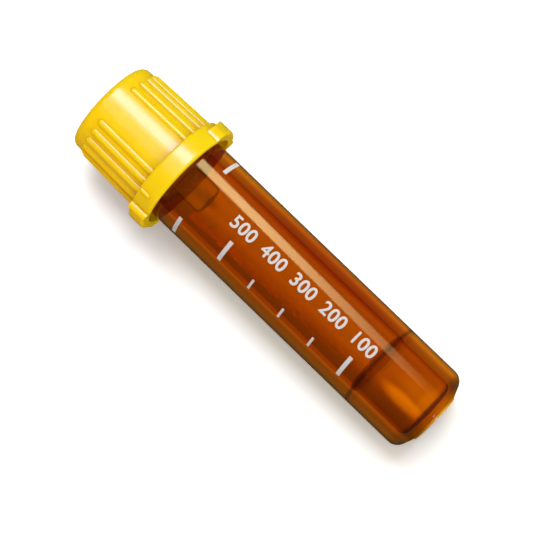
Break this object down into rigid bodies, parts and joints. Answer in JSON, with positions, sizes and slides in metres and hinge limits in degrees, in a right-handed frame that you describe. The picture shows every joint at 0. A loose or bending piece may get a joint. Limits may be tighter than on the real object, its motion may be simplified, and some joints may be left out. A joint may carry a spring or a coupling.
{
  "type": "blood collection tube",
  "caption": "Small amber collection tube with a flat foot and a raised inner floor, closed by a ribbed pull-off cap with a grip collar and a plug stopper.",
  "frame": {"origin": "centre of the flat foot that the tube stands on", "axes": "+Z along the tube from the foot to the cap, -Y towards the printed front, +X to the right of it"},
  "size_m": [0.0148, 0.0136, 0.0512],
  "materials": {
    "amber_plastic": "clear amber, polished mould",
    "yellow_plastic": "satin moulded",
    "stopper_elastomer": "matte",
    "white_ink": "printed"
  },
  "bodies": {
    "tube": {"tube_body": "amber_plastic", "false_bottom": "amber_plastic", "graduation_marks": "white_ink"},
    "closure": {"cap": "yellow_plastic", "stopper": "stopper_elastomer"}
  },
  "joints": [
    {"name": "cap_lift", "type": "slide", "parent": "tube", "child": "closure", "axis": [0, 0, 1], "range_m": [0, 0.016]}
  ]
}
